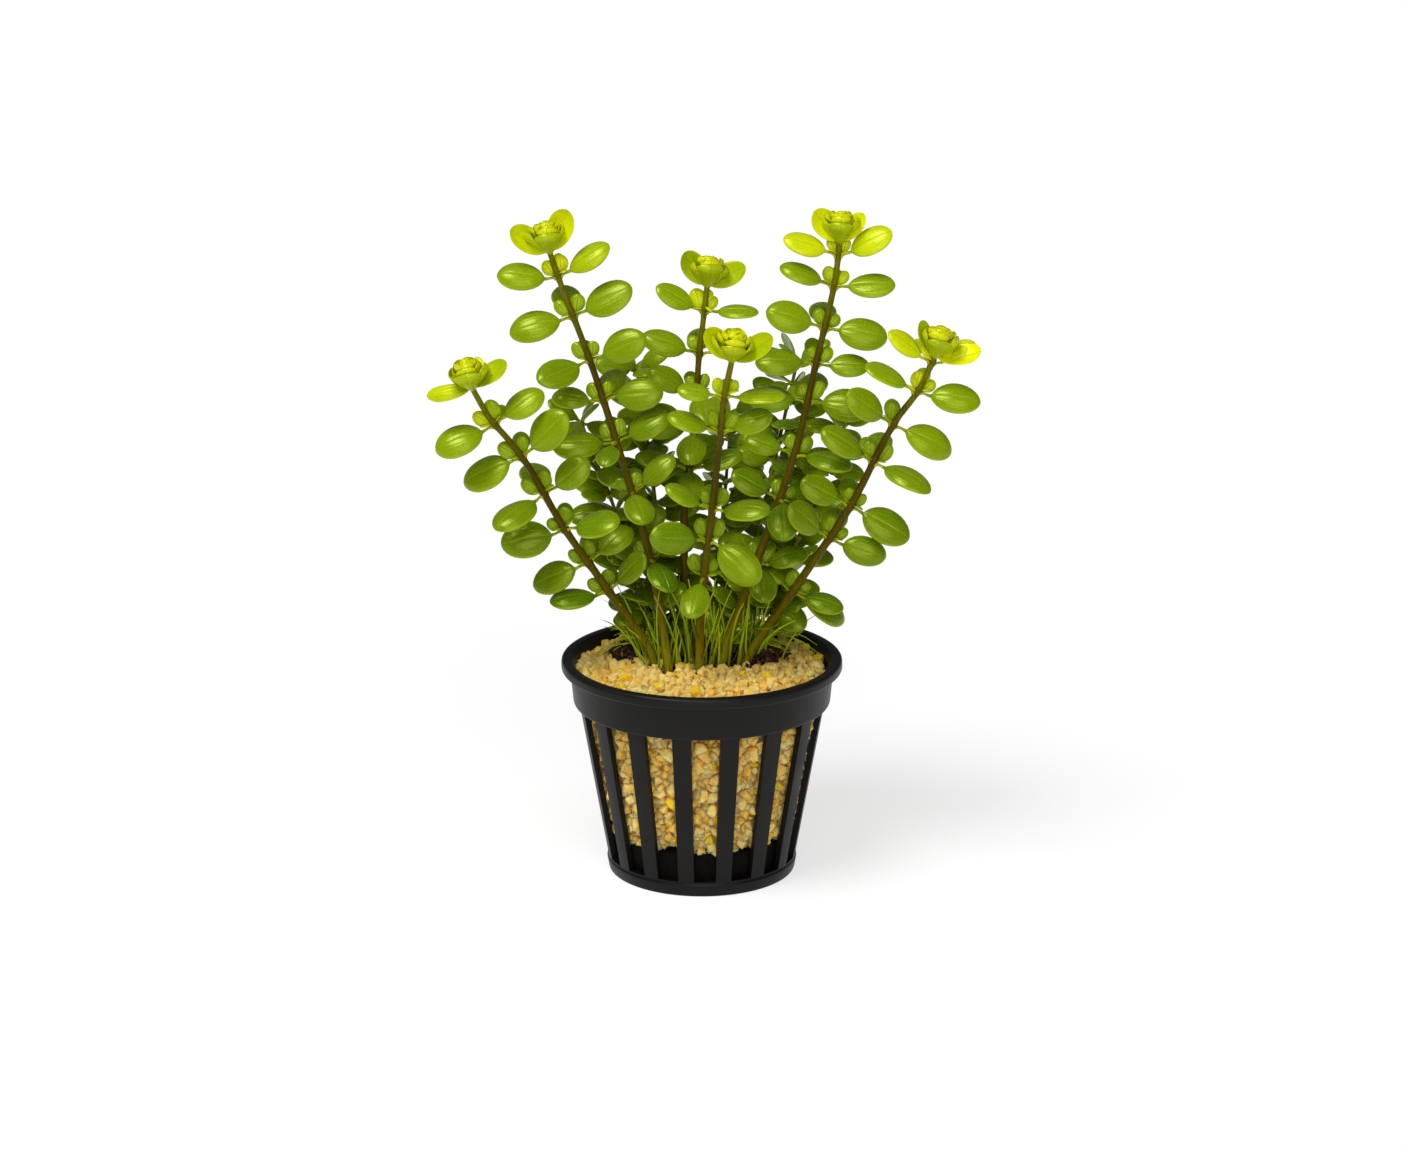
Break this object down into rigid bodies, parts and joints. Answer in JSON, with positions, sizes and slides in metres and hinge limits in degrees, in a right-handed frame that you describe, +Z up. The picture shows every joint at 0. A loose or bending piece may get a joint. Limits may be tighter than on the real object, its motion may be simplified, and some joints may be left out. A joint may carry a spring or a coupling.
{
  "type": "potted water hyssop",
  "caption": "Bushy water hyssop with round paired leaves on upright stems, rooted in pale granules in a black slotted net pot.",
  "frame": {"origin": "middle of the pot's underside, on the surface it stands on", "axes": "+Z up through the middle of the pot, the fullest side of the plant faces -Y, +X to its right"},
  "size_m": [0.1079, 0.0632, 0.132],
  "materials": {
    "pot": "black injection-moulded plastic, soft sheen",
    "granules": "pale yellow, slightly translucent mineral granules",
    "roots": "dark wet root mass",
    "peat": "dark red-brown crumbs",
    "stems": "smooth olive-brown, slightly glossy",
    "leaves": "waxy yellow-green, soft gloss",
    "young_leaves": "waxy yellow, soft gloss",
    "shaded_leaves": "waxy deep green"
  },
  "bodies": {
    "root": {"net_pot": "pot", "growing_medium": "granules", "root_ball": "roots", "peat_left": "peat", "peat_right": "peat", "back_shoot_1": "shaded_leaves", "back_shoot_2": "shaded_leaves", "back_shoot_3": "shaded_leaves", "back_shoot_4": "shaded_leaves", "back_shoot_5": "shaded_leaves", "stem_centre_back": "stems", "stem_centre_back_crown": "young_leaves", "stem_centre_back_whorl_1": "leaves", "stem_centre_back_whorl_2": "leaves", "stem_centre_back_whorl_3": "leaves", "stem_centre_back_whorl_4": "leaves", "stem_centre_back_whorl_5": "leaves", "stem_centre_front": "stems", "stem_centre_front_crown": "young_leaves", "stem_centre_front_whorl_1": "leaves", "stem_centre_front_whorl_2": "leaves", "stem_centre_front_whorl_3": "leaves", "stem_centre_front_whorl_4": "leaves", "stem_centre_front_whorl_5": "leaves", "stem_left_high": "stems", "stem_left_high_crown": "young_leaves", "stem_left_high_whorl_1": "leaves", "stem_left_high_whorl_2": "leaves", "stem_left_high_whorl_3": "leaves", "stem_left_high_whorl_4": "leaves", "stem_left_high_whorl_5": "leaves", "stem_left_high_whorl_6": "leaves", "stem_left_high_whorl_7": "leaves", "stem_left_low": "stems", "stem_left_low_crown": "young_leaves", "stem_left_low_whorl_1": "leaves", "stem_left_low_whorl_2": "leaves", "stem_left_low_whorl_3": "leaves", "stem_left_low_whorl_4": "leaves", "stem_left_low_whorl_5": "leaves", "stem_left_low_whorl_6": "leaves", "stem_right_high": "stems", "stem_right_high_crown": "young_leaves", "stem_right_high_whorl_1": "leaves", "stem_right_high_whorl_2": "leaves", "stem_right_high_whorl_3": "leaves", "stem_right_high_whorl_4": "leaves", "stem_right_high_whorl_5": "leaves", "stem_right_high_whorl_6": "leaves", "stem_right_high_whorl_7": "leaves", "stem_right_high_whorl_8": "leaves", "stem_right_low": "stems", "stem_right_low_crown": "young_leaves", "stem_right_low_whorl_1": "leaves", "stem_right_low_whorl_2": "leaves", "stem_right_low_whorl_3": "leaves", "stem_right_low_whorl_4": "leaves", "stem_right_low_whorl_5": "leaves", "stem_right_low_whorl_6": "leaves", "stem_right_low_whorl_7": "leaves"}
  },
  "joints": []
}
